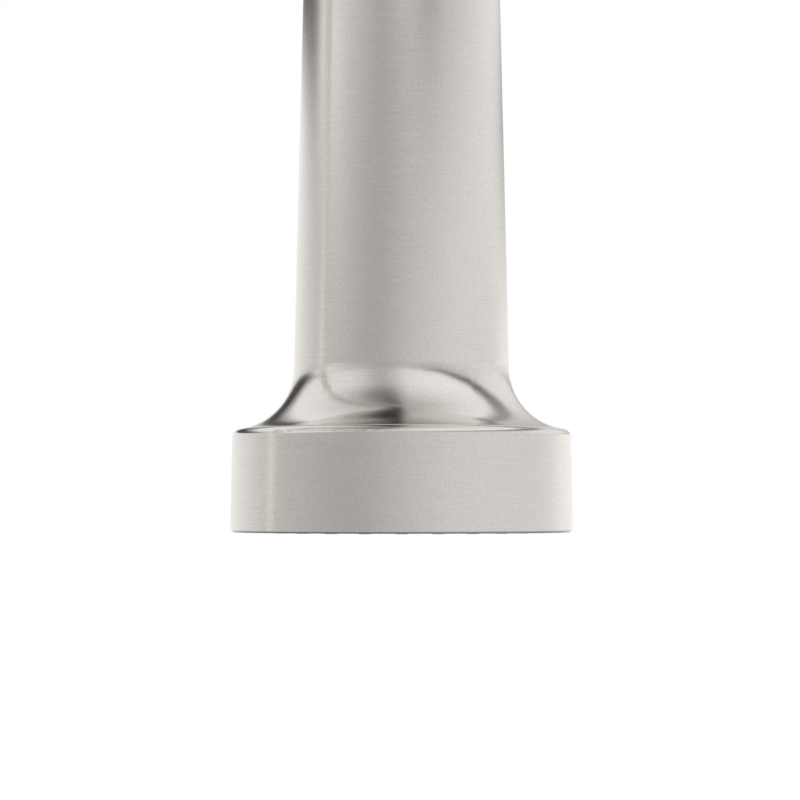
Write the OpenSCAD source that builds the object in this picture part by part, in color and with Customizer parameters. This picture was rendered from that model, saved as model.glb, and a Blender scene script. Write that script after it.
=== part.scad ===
// Pull-down kitchen faucet with a side lever, a swivelling gooseneck and a docking spray head.
// Frame: the origin is the centre of the base on the deck, +Z is up, the spout points to -Y
// and the lever stands on the +X side.  Every size is in millimetres.

/* [Overall] */
// Distance from the column's axis to the spray head's axis
reach = 210; // [180:1:252]
// Height of the spray face above the deck
outlet_height = 185; // [160:1:222]
// Height of the column body's top edge above the deck
column_height = 175; // [170:1:210]
// Length of the spray head from its face to the dock seam
head_len = 128; // [124:1:150]

/* [Spray head] */
// Radius of the disc at the spray face
disc_r = 27.5; // [26:0.1:33]
// Radius of the disc just under its top edge
rim_r = 27.23; // [25.8:0.01:33]
// Height of the disc's side
rim_h = 15.1; // [14.6:0.1:18]
// Rounding of the disc's top edge
rim_fillet = 1.08; // [0.8:0.01:1.3]
// Small chamfer around the spray face
face_chamfer = 0.1; // [0.1:0.1:0.6]
// Radius of the hollow curve between disc and barrel
cove_r = 10.1; // [9:0.1:10.2]
// Radius of the barrel where the hollow curve ends
barrel_low_r = 17.32; // [16.8:0.01:18.2]
// Radius of the barrel at the dock seam, the same as the spout tube
tube_r = 15; // [14.8:0.1:16]
// Depth of the pocket that takes the spray plate, mat and waterway
face_pocket_r = 25.4; // [24.9:0.1:25.8]

/* [Spray plate] */
// Radii of the three rings of nozzles
nozzle_rings = [21.7, 16.7, 11.7];
// Nozzles in each ring
nozzle_counts = [24, 18, 12];
// Radius of the water hole in a nozzle
jet_r = 0.45; // [0.3:0.05:0.6]
// Radius of a nozzle at its root
nozzle_root_r = 1.45; // [1.1:0.05:1.6]
// Radius of a nozzle at its tip
nozzle_tip_r = 0.95; // [0.8:0.05:1.1]
// Height that a nozzle stands proud of the spray plate
nozzle_proud = 0.1; // [0.05:0.05:0.8]
// Depth of the spray plate inside the shell
plate_t = 2; // [1.6:0.1:2.4]
// Thickness of the spray plate's flange under the shell's edge
plate_lip_t = 0.22; // [0.16:0.02:0.4]
// Distance from the disc's edge in to the edge of that flange
plate_lip_inset = 0.4; // [0.3:0.1:1]
// Thickness of the nozzle mat
mat_t = 2.2; // [1.8:0.1:2.8]
// Outer radius of the aerator
aerator_r = 8.4; // [7.4:0.1:8.8]
// Length of the aerator
aerator_len = 9.7; // [8:0.1:11]

/* [Mode rocker] */
// Height of the rocker's pivot above the spray face
rocker_z = 101; // [99:0.5:102]
// Length of the rocker
rocker_len = 22; // [18:0.5:23]
// Width of the rocker
rocker_w = 10.4; // [8:0.1:11]
// Distance of the pivot from the head's axis
rocker_pin_y = 12.8; // [12.6:0.05:13]
// Radius of the rocker's pin
rocker_pin_r = 0.9; // [0.7:0.05:1]
// Radius of the diverter plunger
plunger_r = 2.5; // [2:0.1:2.8]
// Distance from the rocker's pivot down to the plunger
plunger_drop = 8; // [6:0.5:8.5]

/* [Spout] */
// Wall of the spout tube
tube_wall = 1.2; // [0.9:0.1:1.5]
// Height of the bend's centre above the dock seam
leg_len = 25; // [24:1:40]
// Length of the metal collar at the dock
collar_len = 5.7; // [5:0.1:9]
// Gap between the head and the docked collar
dock_gap = 0.3; // [0.2:0.1:0.6]

/* [Column] */
// Radius of the base disc
base_r = 29; // [28:0.1:36]
// Small chamfer around the foot of the base disc
base_chamfer = 0.3; // [0.1:0.1:0.6]
// Height of the base disc's side
base_rim_h = 14; // [10:0.5:18]
// Radius of the hollow curve above the base disc
base_cove_r = 7; // [5.5:0.1:7.4]
// Radius of the column just above the base
column_low_r = 21.2; // [20.8:0.1:22.4]
// Radius of the column at its top edge
column_top_r = 17; // [16.9:0.1:18.5]
// Height of the valve's axis above the deck
valve_z = 95; // [85:1:98]
// Radius of the valve boss
boss_r = 18; // [17.6:0.1:18.6]
// Distance from the column's axis to the boss's end
boss_end = 32; // [31.5:0.1:34]
// Radius of the bore for valve and cartridge
valve_bore_r = 15.2; // [15.1:0.1:15.8]

/* [Handle] */
// Length of the lever above the hub
lever_len = 88; // [60:1:110]
// Radius of the lever at the hub
lever_root_r = 3.6; // [3:0.1:4.2]
// Radius of the lever at its tip
lever_tip_r = 4.9; // [4:0.1:6]
// Radius of the handle hub
hub_r = 17.6; // [16.8:0.1:18]
// Length of the hub beyond its lip
hub_len = 18; // [17:0.1:21.6]
// Greatest lift of the lever, in degrees
lift_angle = 22; // [18:1:22]

/* [Hose] */
// Outer radius of the spray hose
hose_r = 6.5; // [6:0.1:6.6]
// Bore radius of the spray hose
hose_bore_r = 4.2; // [3.6:0.1:4.4]
// Sideways shift of the hose past the valve
hose_shift = 7.5; // [7.3:0.1:7.7]

/* [Mounting] */
// Thickness of the deck that the nut is set for
deck_t = 30; // [4:1:40]
// Radius of the threaded shank
shank_r = 16.5; // [16:0.1:16.6]
// Length of the shank below the deck
shank_len = 75; // [70:1:90]
// Wall of the shank
shank_wall = 2; // [1.5:0.1:2.1]
// Radius of the copper supply tubes
copper_r = 3.5; // [3:0.1:3.6]
// Radius of the 3/8 inch compression thread on the supply ends
inlet_r = 7.14; // [7:0.01:7.3]
// Lowest end of the supply nipples below the deck
inlet_drop = 133; // [125:1:160]

/* [Hidden] */
$fn = 96;
round_fn = 48;
over = 1;

// Fits: gap at each face between pieces that slide or turn, and pieces that sit still
run_gap = 0.08;
seat_gap = 0.1;
close_gap = 0.05;
pin_gap = 0.03;
touch_gap = 0.02;
free_gap = 0.3;

// Spray head, heights above the face
rim_top = rim_h + rim_fillet;
cove_x = barrel_low_r + cove_r;
cove_z = rim_top + cove_r + touch_gap;
plate_r = face_pocket_r - seat_gap;
plate_lip_r = disc_r - plate_lip_inset;
plate_face = -touch_gap - plate_lip_t;
nozzle_tip = plate_face - nozzle_proud;
mat_top = plate_t + mat_t;
engine_r = face_pocket_r - 1.2;
engine_base_h = 5.3;
neck_r = 12.9;
shell_low_in_r = barrel_low_r - 2.1;
shell_top_in_r = neck_r + seat_gap;
shell_pocket_h = 12;
shell_step_z = 24;
cup_floor = head_len - 12;
cup_wall = 2.1;
cup_top = head_len - 4;
cup_r = neck_r - cup_wall;
waterway_r = 3.5;
channel_r = 2;
channel_y = 8;
chamber_in_r = 10.4;
chamber_out_r = 23;
chamber_h = 2.4;
aerator_wall = 1.6;
aerator_z = 0.3;
screen_t = 1.2;
screen_bar = 0.5;
screen_pitch = 1.6;

// Check valve, filter washer, nipple and connector nut at the head's inlet
valve_len = 9;
check_r = 5;
check_bore_r = 3.3;
check_seat_r = 2.2;
check_wall = 1.2;
check_seat_t = 2;
poppet_r = 2.9;
poppet_t = 1.3;
poppet_stem_r = 1;
washer_t = 2;
washer_r = 7.3;
washer_bore_r = 3.4;
flange_t = 2.4;
stem_r = 5;
stem_bore_r = 3.2;
nut_clear = 0.3;
nut_z = cup_floor + washer_t + flange_t + 2 * nut_clear;
nut_r = cup_r - seat_gap;
nut_seam_r = 10.3;
nut_top_r = 9;
nut_top = head_len + 8;
crimp_z = nut_top + 1;
crimp_len = 9;
crimp_r = 7.2;
barb_r = hose_bore_r;
head_magnet_in_r = nut_r + 0.4;
head_magnet_t = 3.4;

// Rocker and plunger
window_w = rocker_w + 2 * free_gap;
window_len = rocker_len + 1.4;
rocker_pin_len = 14;
rocker_back_y = 12;
rocker_proud = 0.5;
rocker_boss_r = 2;
pocket_y = 9.4;
pocket_len = rocker_len + 5.5;
pocket_w = rocker_w + 2;
plunger_out_y = 11.2;
plunger_in_y = 3.5;
plunger_z = rocker_z - plunger_drop;

// Dock and spout, heights above the deck
dock_z = outlet_height + head_len;
arc_r = reach / 2;
arc_z = dock_z + leg_len;
tube_in_r = tube_r - tube_wall;
collar_z = dock_z + dock_gap;
collar_top = collar_z + collar_len;
collar_bore_r = 12.6;
collar_neck_r = tube_in_r - seat_gap;
collar_neck_len = 10;
dock_magnet_t = 3.8;
dock_magnet_z = collar_z + 0.3;
guide_z = dock_magnet_z + dock_magnet_t + seat_gap;
guide_len = 14;
guide_r = collar_bore_r - seat_gap;
guide_bore_r = 10.8;
crimp_top = outlet_height + crimp_z + crimp_len;

// Swivel between spout and column
spigot_r = 14;
spigot_bore_r = 12.4;
spigot_z = column_height - 35;
swivel_washer_t = 0.6;
swivel_ring_t = 2.4;
swivel_ring_r = column_top_r - 0.4;
tube_foot = column_height + swivel_washer_t + swivel_ring_t;
spigot_plug_len = 16;
bush_len = 8;
bush_bore_r = spigot_r + run_gap;
bush_r = 15.9;
bush_seat_r = bush_r + seat_gap;
bush_shelf_z = spigot_z - 3;
screw_z = column_height - 17;
groove_r = 13.2;
groove_h = 4.6;
screw_r = 2;
screw_in_y = groove_r + 0.3;
screw_len = 3.4;

// Column and base
flange_z = 0.6;
base_fillet = 1;
base_rim_r = base_r - 0.25;
base_cove_x = column_low_r + base_cove_r;
base_cove_z = base_rim_h + base_fillet + base_cove_r + touch_gap;
column_foot_r = column_low_r - 0.6;
column_foot_z = 0.8;
gasket_t = 1.6;
gasket_in_r = column_foot_r + 0.5;
gasket_out_r = base_r - 0.8;
shank_bore_r = shank_r + seat_gap;
shank_seat = 19;
cavity_r = 15;
shank_in_r = shank_r - shank_wall;

// Valve body, cartridge and ceramic discs, distances from the column's axis
valve_r = valve_bore_r - 0.3;
valve_in_x = 1;
valve_out_x = 16;
copper_in_r = copper_r - 0.9;
supply_x = 5.4;
supply_y = 8;
outlet_x = 10.6;
tube_seat_z = valve_z - 7;
port_r = 2.5;
port_y = 6.5;
port_z = valve_z + 2;
outlet_port_z = valve_z - 6;
seal_r = 3.2;
seal_cord_r = 0.7;
housing_x = valve_out_x + 0.5;
housing_base_t = 2.5;
housing_r = 14;
housing_lip_r = 13;
housing_bore_r = 11.88;
housing_step_x = 29.5;
housing_end_x = 34.5;
disc_t = 2.6;
fixed_disc_x = housing_x + housing_base_t;
fixed_disc_r = housing_bore_r - 0.18;
moving_disc_x = fixed_disc_x + disc_t + close_gap;
moving_disc_t = 2;
moving_disc_r = 10.1;
driver_x = moving_disc_x + moving_disc_t + touch_gap;
driver_t = 3.7;
driver_socket_r = 3.5;
pivot_x = 33;
stem_ball_r = 2.2;
stem_ball_x = driver_x + stem_ball_r + 0.43;
disc_travel = (pivot_x - stem_ball_x) * sin(lift_angle);
carrier_x = 28.2;
carrier_r = housing_bore_r - run_gap;
carrier_slot_w = 7.8;
carrier_slot_h = 13.2;
stem_rod_r = 3.5;
stem_neck_r = 2.2;
stem_neck_end = 30;
stem_end_x = 56;
stem_pin_r = 1.25;
stem_pin_len = 20;
bonnet_r = valve_bore_r - seat_gap;
bonnet_hex_x = housing_end_x - 1;
bonnet_end_x = 37.5;
bonnet_hex_r = 13.8;
bonnet_lip_r = 10.5;
dome_r = 16.6;
dome_wall = 1.2;
dome_mouth_r = 9.6;
dome_x = boss_end + 0.2;
hub_gap = 0.4;
hub_cavity_r = dome_r + hub_gap;
lip_angle = 62;
hub_x = pivot_x + hub_cavity_r * cos(lip_angle);
hub_end = hub_x + hub_len;
hub_fillet = 1.2;
lever_x = hub_x + 11.2;
lever_root_z = 9.6;
lever_seat = lever_root_z + seat_gap;
lever_tip_round = 1.2;
handle_screw_x = 53;
handle_screw_r = 2;
handle_screw_len = 6;
cap_t = 2;

// Hose run
hose_top_z = tube_foot - 1;
hose_bend_len = 65;
hose_bend_z = hose_top_z - hose_bend_len;
hose_bend_a = 2 * atan(hose_shift / hose_bend_len);
hose_bend_r = hose_bend_len / (2 * sin(hose_bend_a));
hose_foot_z = -shank_len - 9;
hose_end_crimp_len = 14;
hose_end_nut_len = 12;
hose_end_r = 7.6;
hose_end_nut_r = 8.5;

// Mounting hardware
rubber_t = 3;
steel_t = 2;
deck_washer_r = 27;
deck_washer_bore_r = 17;
mount_nut_r = 25;
mount_nut_t = 12;
clamp_count = 3;
clamp_ring_r = 20.4;
clamp_r = 2.5;
clamp_head_r = 3.2;
clamp_head_t = 3;
clamp_len = 20;
nipple_len = 20;
nipple_collar_len = 6;
nipple_collar_r = 7.7;
outlet_end = 108;
outlet_stem_len = 20;
outlet_stem_r = 4.76;

// Places

module at_head(z = 0) {
    translate([0, -reach, outlet_height + z]) children();
}

module at_dock_axis() {
    translate([0, -reach, 0]) children();
}

// Turns a shape that stands along +Z so that it points along +X from the valve's axis
module along_x(x = 0) {
    translate([x, 0, valve_z]) rotate([0, 90, 0]) children();
}

module along_y(x, y, z) {
    translate([x, y, z]) rotate([-90, 0, 0]) children();
}

// Common shapes

module ring(r, bore, h) {
    difference() {
        cylinder(r = r, h = h);
        translate([0, 0, -over]) cylinder(r = bore, h = h + 2 * over);
    }
}

module disc_ring(count, radius) {
    for (i = [0 : count - 1]) {
        rotate([0, 0, i * 360 / count]) translate([radius, 0, 0]) children();
    }
}

// A round bar that starts at the origin along +Z and bends towards -X
module bend(bend_r, angle, r) {
    translate([-bend_r, 0, 0]) rotate([90, 0, 0])
        rotate_extrude(angle = angle) translate([bend_r, 0]) circle(r = r);
}

// Spray head

// Half outline of the head's outside: disc, rounded edge, hollow curve and tapered barrel
module head_outline() {
    polygon([
        [0, 0], [disc_r - face_chamfer, 0], [disc_r, face_chamfer], [rim_r, rim_h],
        [rim_r - rim_fillet, rim_h], [rim_r - rim_fillet, rim_top], [0, rim_top]
    ]);
    translate([rim_r - rim_fillet, rim_h]) circle(r = rim_fillet);
    difference() {
        translate([0, rim_top]) square([rim_r - rim_fillet, cove_z - rim_top]);
        translate([cove_x, cove_z]) circle(r = cove_r);
    }
    polygon([[0, cove_z], [barrel_low_r, cove_z], [tube_r, head_len], [0, head_len]]);
}

module head_hollow() {
    polygon([
        [0, -over], [face_pocket_r, -over], [face_pocket_r, shell_pocket_h],
        [shell_low_in_r, shell_step_z], [shell_top_in_r, cup_floor],
        [shell_top_in_r, head_len + over], [0, head_len + over]
    ]);
}

module head_shell() color("#b9b5af") at_head() {
    difference() {
        rotate_extrude() difference() {
            head_outline();
            head_hollow();
        }
        translate([-window_w / 2, -2 * tube_r, rocker_z - window_len / 2])
            cube([window_w, 2 * tube_r - pocket_y, window_len]);
        translate([0, 0, rocker_z]) rocker_axis(rocker_pin_r + pin_gap, rocker_pin_len + seat_gap);
    }
}

// A bar along X through the rocker's pivot, at the pivot's height
module rocker_axis(r, len) {
    translate([-len / 2, -rocker_pin_y, 0]) rotate([0, 90, 0]) cylinder(r = r, h = len, $fn = round_fn);
}

module nozzle_places() {
    for (i = [0 : len(nozzle_rings) - 1]) {
        disc_ring(nozzle_counts[i], nozzle_rings[i]) children();
    }
}

module spray_plate() color("#5b5957") at_head(plate_face) {
    depth = plate_t - plate_face;
    difference() {
        union() {
            cylinder(r = plate_lip_r, h = plate_lip_t);
            cylinder(r = plate_r, h = depth);
        }
        translate([0, 0, -over]) cylinder(r = aerator_r + seat_gap, h = depth + 2 * over);
        nozzle_places() translate([0, 0, -over])
            cylinder(r = nozzle_root_r + seat_gap, h = depth + 2 * over, $fn = round_fn);
    }
}

module nozzle_mat() color("#5c5d5e") at_head() {
    nozzle_h = plate_t - nozzle_tip;
    difference() {
        union() {
            translate([0, 0, plate_t]) cylinder(r = engine_r, h = mat_t);
            nozzle_places() translate([0, 0, nozzle_tip]) {
                cylinder(r1 = nozzle_tip_r, r2 = nozzle_root_r, h = nozzle_h, $fn = round_fn);
                cylinder(r = nozzle_tip_r, h = nozzle_h + mat_t / 2, $fn = round_fn);
            }
        }
        translate([0, 0, plate_t - over]) cylinder(r = aerator_r + seat_gap, h = mat_t + 2 * over);
        nozzle_places() translate([0, 0, nozzle_tip - over])
            cylinder(r = jet_r, h = nozzle_h + mat_t + 2 * over, $fn = round_fn);
    }
}

module aerator_housing() color("#d8d8d4") at_head(aerator_z) {
    difference() {
        cylinder(r = aerator_r, h = aerator_len);
        translate([0, 0, -over])
            cylinder(r = aerator_r - aerator_wall, h = aerator_len - aerator_wall + over);
        cylinder(r = waterway_r, h = aerator_len + over);
    }
}

module aerator_screen() color("#c9c9c6") at_head(aerator_z + 1) {
    screen_r = aerator_r - aerator_wall - seat_gap;
    steps = floor(screen_r / screen_pitch);
    ring(screen_r, screen_r - 1, screen_t);
    intersection() {
        cylinder(r = screen_r - 0.5, h = screen_t);
        for (i = [-steps : steps]) {
            translate([i * screen_pitch - screen_bar / 2, -screen_r, 0])
                cube([screen_bar, 2 * screen_r, screen_t]);
            translate([-screen_r, i * screen_pitch - screen_bar / 2, 0])
                cube([2 * screen_r, screen_bar, screen_t]);
        }
    }
}

module spray_engine() color("#3b3c3e") at_head() {
    aerator_top = aerator_z + aerator_len;
    difference() {
        rotate_extrude() polygon([
            [0, mat_top], [engine_r, mat_top], [engine_r, mat_top + engine_base_h],
            [neck_r, mat_top + engine_base_h + 10], [neck_r, cup_top], [0, cup_top]
        ]);
        translate([0, 0, cup_floor]) cylinder(r = cup_r, h = head_len);
        translate([0, 0, cup_floor - valve_len]) cylinder(r = check_r + seat_gap, h = head_len);
        cylinder(r = waterway_r, h = cup_floor);
        cylinder(r = aerator_r + seat_gap, h = aerator_top + seat_gap);
        translate([0, 0, mat_top - over]) difference() {
            cylinder(r = chamber_out_r, h = chamber_h + over);
            cylinder(r = chamber_in_r, h = 3 * chamber_h, center = true);
        }
        translate([0, channel_y + chamber_in_r / 2, mat_top]) cylinder(r = channel_r, h = chamber_h + 2);
        spray_passage();
        translate([-pocket_w / 2, -2 * neck_r, rocker_z - pocket_len / 2])
            cube([pocket_w, 2 * neck_r - pocket_y, pocket_len]);
        along_y(0, -neck_r, plunger_z)
            cylinder(r = plunger_r + run_gap, h = neck_r + channel_y, $fn = round_fn);
    }
}

// The passage from the diverter down to the spray chamber
module spray_passage() {
    channel_top = plunger_z;
    translate([0, channel_y, mat_top + chamber_h + 1])
        cylinder(r = channel_r, h = channel_top - mat_top - chamber_h - 1, $fn = round_fn);
    along_y(0, channel_y, mat_top + chamber_h + 1)
        cylinder(r = channel_r, h = chamber_in_r / 2, $fn = round_fn);
}

module rocker_pin() color("#d0d0d0") at_head(rocker_z) {
    rocker_axis(rocker_pin_r, rocker_pin_len);
}

module rocker_button() color("#4a4b4d") at_head(rocker_z) {
    difference() {
        intersection() {
            union() {
                translate([-rocker_w / 2, -2 * tube_r, -rocker_len / 2])
                    cube([rocker_w, 2 * tube_r - rocker_back_y, rocker_len]);
                rocker_axis(rocker_boss_r, rocker_w);
            }
            cylinder(r = tube_r + rocker_proud + 0.6, h = rocker_len, center = true);
        }
        rocker_axis(rocker_pin_r + run_gap, rocker_w + 2 * over);
    }
}

module diverter_plunger() color("#e6e6e2") at_head() {
    along_y(0, -plunger_out_y, plunger_z) {
        cylinder(r = plunger_r, h = plunger_out_y - plunger_in_y, $fn = round_fn);
    }
}

module check_valve() color("#e6e6e2") at_head(cup_floor - valve_len) {
    difference() {
        cylinder(r = check_r, h = valve_len);
        translate([0, 0, check_wall])
            cylinder(r = check_bore_r, h = valve_len - check_wall - check_seat_t);
        translate([0, 0, valve_len - check_seat_t - over])
            cylinder(r = check_seat_r, h = check_seat_t + 2 * over);
        translate([0, 0, -over]) cylinder(r = poppet_stem_r + run_gap, h = check_wall + 2 * over);
        disc_ring(4, (check_bore_r + poppet_stem_r) / 2 + seat_gap)
            translate([0, 0, -over]) cylinder(r = 0.8, h = check_wall + 2 * over, $fn = round_fn);
    }
}

module check_poppet() color("#2f6f9f") at_head(cup_floor - check_seat_t - poppet_t - close_gap) {
    stem_h = valve_len - check_seat_t - poppet_t - 0.5;
    cylinder(r = poppet_r, h = poppet_t);
    translate([0, 0, -stem_h]) cylinder(r = poppet_stem_r, h = stem_h + seat_gap);
}

module filter_washer() color("#2a2a2a") at_head(cup_floor) {
    ring(washer_r, washer_bore_r, washer_t);
}

module connector_nut() color("#c9a95a") at_head() {
    rotate_extrude() difference() {
        polygon([
            [0, nut_z], [nut_r, nut_z], [nut_r, cup_top + 1], [nut_seam_r, head_len],
            [nut_top_r, nut_top], [0, nut_top]
        ]);
        translate([0, nut_z - over]) square([stem_r + run_gap, nut_top]);
    }
}

module head_magnet() color("#6e6e70") at_head(cup_top) {
    ring(neck_r, head_magnet_in_r, head_magnet_t);
}

// Hose end that slides with the head but doesn't turn with it

module swivel_nipple() color("#c9a95a") at_head(cup_floor + washer_t + seat_gap) {
    stem_top = crimp_z - (cup_floor + washer_t + seat_gap);
    difference() {
        union() {
            cylinder(r = washer_r, h = flange_t);
            cylinder(r = stem_r, h = stem_top);
            cylinder(r = barb_r, h = stem_top + crimp_len);
        }
        translate([0, 0, -over]) cylinder(r = stem_bore_r, h = stem_top + crimp_len + 2 * over);
    }
}

module hose_crimp() color("#c4c4c4") at_head(crimp_z) {
    ring(crimp_r, barb_r + touch_gap, crimp_len);
}

module hose_drop() color("#8c8f92") at_dock_axis() {
    translate([0, 0, crimp_top]) ring(hose_r, hose_bore_r, arc_z - crimp_top);
}

// Spout

module dock_collar() color("#b9b5af") at_dock_axis() {
    difference() {
        union() {
            translate([0, 0, collar_z]) cylinder(r = tube_r, h = collar_len);
            translate([0, 0, collar_z]) cylinder(r = collar_neck_r, h = collar_len + collar_neck_len);
        }
        translate([0, 0, collar_z - over])
            cylinder(r = collar_bore_r, h = collar_len + collar_neck_len + 2 * over);
    }
}

module dock_magnet() color("#6e6e70") at_dock_axis() {
    translate([0, 0, dock_magnet_z]) ring(guide_r, guide_bore_r, dock_magnet_t);
}

module dock_guide() color("#2e2f30") at_dock_axis() {
    translate([0, 0, guide_z]) ring(guide_r, guide_bore_r, guide_len);
}

// A half turn of pipe over the gooseneck, centred on the bend
module over_the_top(r) {
    translate([0, -arc_r, arc_z]) rotate([90, 0, 90])
        rotate_extrude(angle = 180) translate([arc_r, 0]) circle(r = r);
}

module spout_tube() color("#b9b5af") {
    translate([0, -arc_r, arc_z]) rotate([90, 0, 90])
        rotate_extrude(angle = 180) translate([arc_r, 0]) difference() {
            circle(r = tube_r);
            circle(r = tube_in_r);
        }
    translate([0, 0, tube_foot]) ring(tube_r, tube_in_r, arc_z - tube_foot);
    at_dock_axis() translate([0, 0, collar_top]) ring(tube_r, tube_in_r, arc_z - collar_top);
}

module spout_spigot() color("#c9a95a") {
    ring_z = column_height + swivel_washer_t;
    difference() {
        union() {
            translate([0, 0, spigot_z]) cylinder(r = spigot_r, h = ring_z - spigot_z);
            translate([0, 0, ring_z]) cylinder(r = swivel_ring_r, h = swivel_ring_t);
            translate([0, 0, ring_z])
                cylinder(r = tube_in_r - close_gap, h = swivel_ring_t + spigot_plug_len);
        }
        translate([0, 0, spigot_z - over])
            cylinder(r = spigot_bore_r, h = tube_foot - spigot_z + spigot_plug_len + 2 * over);
        translate([0, 0, screw_z - groove_h / 2]) ring(spigot_r + over, groove_r, groove_h);
    }
}

module hose_upper() color("#8c8f92") {
    difference() {
        union() {
            over_the_top(hose_r);
            translate([0, 0, hose_top_z]) cylinder(r = hose_r, h = arc_z - hose_top_z);
        }
        over_the_top(hose_bore_r);
        translate([0, 0, hose_top_z - over]) cylinder(r = hose_bore_r, h = arc_z - hose_top_z + over);
    }
}

// Column

module column_body() color("#b9b5af") {
    cone_z = base_cove_z;
    difference() {
        union() {
            translate([0, 0, column_foot_z]) cylinder(r = column_foot_r, h = cone_z - column_foot_z);
            translate([0, 0, cone_z])
                cylinder(r1 = column_low_r, r2 = column_top_r, h = column_height - cone_z);
            along_x() cylinder(r = boss_r, h = boss_end);
        }
        cylinder(r = shank_bore_r, h = 2 * shank_seat, center = true);
        translate([0, 0, shank_seat - over]) cylinder(r = cavity_r, h = column_height);
        translate([0, 0, bush_shelf_z]) cylinder(r = bush_seat_r, h = column_height);
        along_x() cylinder(r = valve_bore_r, h = boss_end + over);
        along_y(0, cavity_r - 2, screw_z) cylinder(r = screw_r + close_gap, h = column_low_r, $fn = round_fn);
    }
}

// Half outline of the base trim: disc, rounded edge and hollow curve up to the column
module base_outline() {
    polygon([
        [0, flange_z], [base_r - base_chamfer, flange_z], [base_r, flange_z + base_chamfer],
        [base_rim_r, base_rim_h], [base_rim_r - base_fillet, base_rim_h],
        [base_rim_r - base_fillet, base_rim_h + base_fillet], [0, base_rim_h + base_fillet]
    ]);
    translate([base_rim_r - base_fillet, base_rim_h]) circle(r = base_fillet);
    difference() {
        translate([0, base_rim_h + base_fillet])
            square([base_rim_r - base_fillet, base_cove_z - base_rim_h - base_fillet]);
        translate([base_cove_x, base_cove_z]) circle(r = base_cove_r);
    }
}

module base_flange() color("#b9b5af") {
    rotate_extrude() difference() {
        base_outline();
        translate([0, -over]) square([column_foot_r + seat_gap, column_height]);
        translate([gasket_in_r - seat_gap, -over])
            square([gasket_out_r - gasket_in_r + 2 * seat_gap, gasket_t + over]);
    }
}

module base_gasket() color("#1f1f1f") {
    ring(gasket_out_r, gasket_in_r, gasket_t);
}

module shank() color("#c9a95a") {
    translate([0, 0, -shank_len]) ring(shank_r, shank_in_r, shank_len + shank_seat);
}

module upper_bush() color("#f0f0ec") {
    translate([0, 0, column_height - bush_len]) ring(bush_r, bush_bore_r, bush_len);
}

module lower_bush() color("#f0f0ec") {
    translate([0, 0, bush_shelf_z]) ring(bush_r, bush_bore_r, bush_len);
}

module thrust_washer() color("#2e2f30") {
    translate([0, 0, column_height]) ring(swivel_ring_r, spigot_r + seat_gap, swivel_washer_t);
}

module spout_screw() color("#9a9a9a") {
    along_y(0, screw_in_y, screw_z) difference() {
        cylinder(r = screw_r, h = screw_len, $fn = round_fn);
        translate([0, 0, screw_len - 1.4]) cylinder(r = 1, h = 2, $fn = 6);
    }
}

// Valve and cartridge

module supply_pair() {
    for (side = [-1, 1]) {
        translate([supply_x, side * supply_y, 0]) children();
    }
}

module valve_body() color("#c9a95a") {
    difference() {
        along_x(valve_in_x) cylinder(r = valve_r, h = valve_out_x - valve_in_x);
        supply_pair() {
            cylinder(r = copper_r + close_gap, h = tube_seat_z);
            cylinder(r = port_r, h = port_z, $fn = round_fn);
        }
        translate([outlet_x, 0, 0]) {
            cylinder(r = copper_r + close_gap, h = tube_seat_z);
            cylinder(r = port_r, h = outlet_port_z + 0.5, $fn = round_fn);
        }
        port_bores(supply_x, valve_out_x - supply_x + over);
        outlet_bore(outlet_x, valve_out_x - outlet_x + over);
    }
}

module port_bores(x, len) {
    for (side = [-1, 1]) {
        translate([x, side * port_y, port_z]) rotate([0, 90, 0])
            cylinder(r = port_r, h = len, $fn = round_fn);
    }
}

module outlet_bore(x, len) {
    translate([x, 0, outlet_port_z]) rotate([0, 90, 0]) cylinder(r = port_r, h = len, $fn = round_fn);
}

// Three rubber rings between the valve body and the cartridge
module port_seals() color("#1f1f1f") {
    places = [[port_y, port_z], [-port_y, port_z], [0, outlet_port_z]];
    gap = housing_x - valve_out_x;
    for (p = places) {
        translate([valve_out_x, p[0], p[1]]) rotate([0, 90, 0])
            ring(seal_r + seal_cord_r / 2, seal_r - seal_cord_r / 2, gap);
    }
}

module cartridge_housing() color("#e9e9e4") {
    difference() {
        union() {
            along_x(housing_x) cylinder(r = housing_r, h = housing_step_x - housing_x);
            along_x(housing_x) cylinder(r = housing_lip_r, h = housing_end_x - housing_x);
        }
        along_x(fixed_disc_x) cylinder(r = housing_bore_r, h = boss_end);
        port_bores(housing_x - over, housing_base_t + 2 * over);
        outlet_bore(housing_x - over, housing_base_t + 2 * over);
    }
}

module fixed_disc() color("#dfe3e6") {
    difference() {
        along_x(fixed_disc_x) cylinder(r = fixed_disc_r, h = disc_t);
        port_bores(fixed_disc_x - over, disc_t + 2 * over);
        outlet_bore(fixed_disc_x - over, disc_t + 2 * over);
    }
}

module moving_disc() color("#cdd2d6") {
    translate([0, 0, -disc_travel / 2]) difference() {
        along_x(moving_disc_x) cylinder(r = moving_disc_r, h = moving_disc_t);
        along_x(moving_disc_x - over) cylinder(r = moving_disc_r / 2, h = over + moving_disc_t / 2);
    }
}

module disc_driver() color("#d9742c") {
    difference() {
        translate([0, 0, -disc_travel / 2]) along_x(driver_x)
            cylinder(r = moving_disc_r, h = driver_t);
        along_x(driver_x - over) cylinder(r = driver_socket_r, h = driver_t + 2 * over);
    }
}

module stem_carrier() color("#d9742c") {
    slot_len = housing_end_x - carrier_x + 2 * over;
    difference() {
        along_x(carrier_x) cylinder(r = carrier_r, h = housing_end_x - carrier_x);
        translate([carrier_x - over, -carrier_slot_w / 2, valve_z - carrier_slot_h / 2])
            cube([slot_len, carrier_slot_w, carrier_slot_h]);
        stem_pin_bar(stem_pin_r + touch_gap, stem_pin_len + seat_gap);
    }
}

module stem_pin_bar(r, len) {
    along_y(pivot_x, -len / 2, valve_z) cylinder(r = r, h = len, $fn = round_fn);
}

module stem_pin() color("#b0b0b0") {
    stem_pin_bar(stem_pin_r, stem_pin_len);
}

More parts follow.
